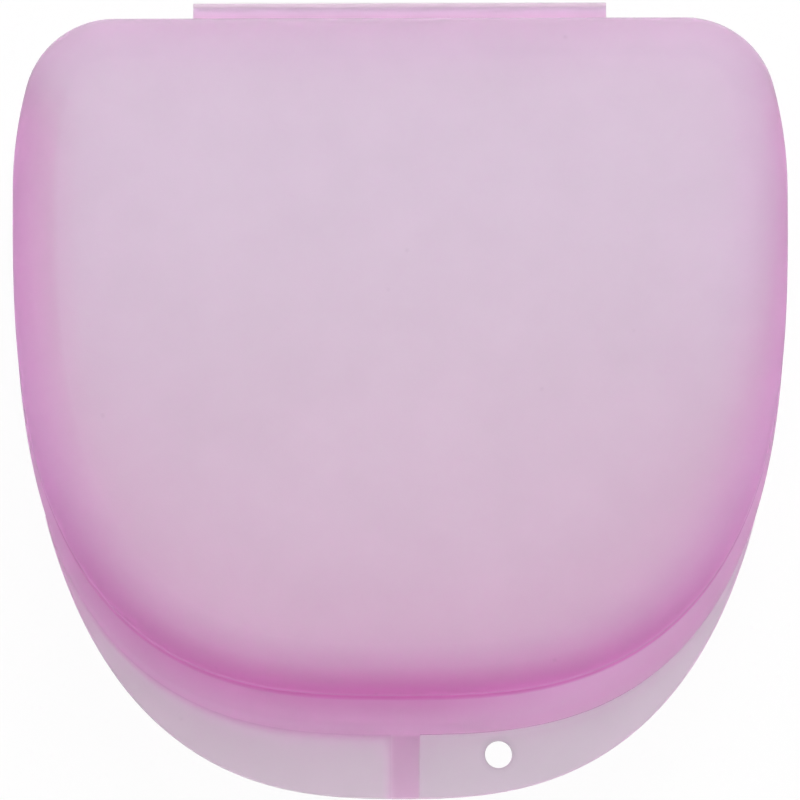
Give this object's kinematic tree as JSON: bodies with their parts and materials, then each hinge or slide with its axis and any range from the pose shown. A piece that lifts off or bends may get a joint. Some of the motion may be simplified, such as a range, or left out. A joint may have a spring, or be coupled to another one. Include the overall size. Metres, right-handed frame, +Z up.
{
  "type": "hinged retainer case",
  "caption": "Frosted clamshell case with a D-shaped base and lid, a living hinge at the back and offset thumb tabs at the front, for keeping a dental retainer.",
  "frame": {"origin": "centre of the footprint, on the surface that the base stands on", "axes": "+Z up, -Y towards the thumb tabs at the front, +Y towards the hinge, +X towards the tab with the lanyard hole"},
  "size_m": [0.08, 0.0828, 0.026],
  "materials": {
    "frosted_polypropylene": "frosted translucent orchid pink, fine matt moulding texture"
  },
  "bodies": {
    "base": {"base_tray": "frosted_polypropylene", "base_thumb_tab": "frosted_polypropylene", "base_hinge_leaf": "frosted_polypropylene", "hinge_web": "frosted_polypropylene"},
    "lid": {"lid_cover": "frosted_polypropylene", "lid_thumb_tab": "frosted_polypropylene", "lid_hinge_leaf": "frosted_polypropylene"}
  },
  "joints": [
    {"name": "lid_hinge", "type": "hinge", "parent": "base", "child": "lid", "pos_m": [0, 0.0414, 0.01305], "axis": [-1, 0, 0], "range_deg": [0, 180], "deforming": ["hinge_web"]}
  ]
}
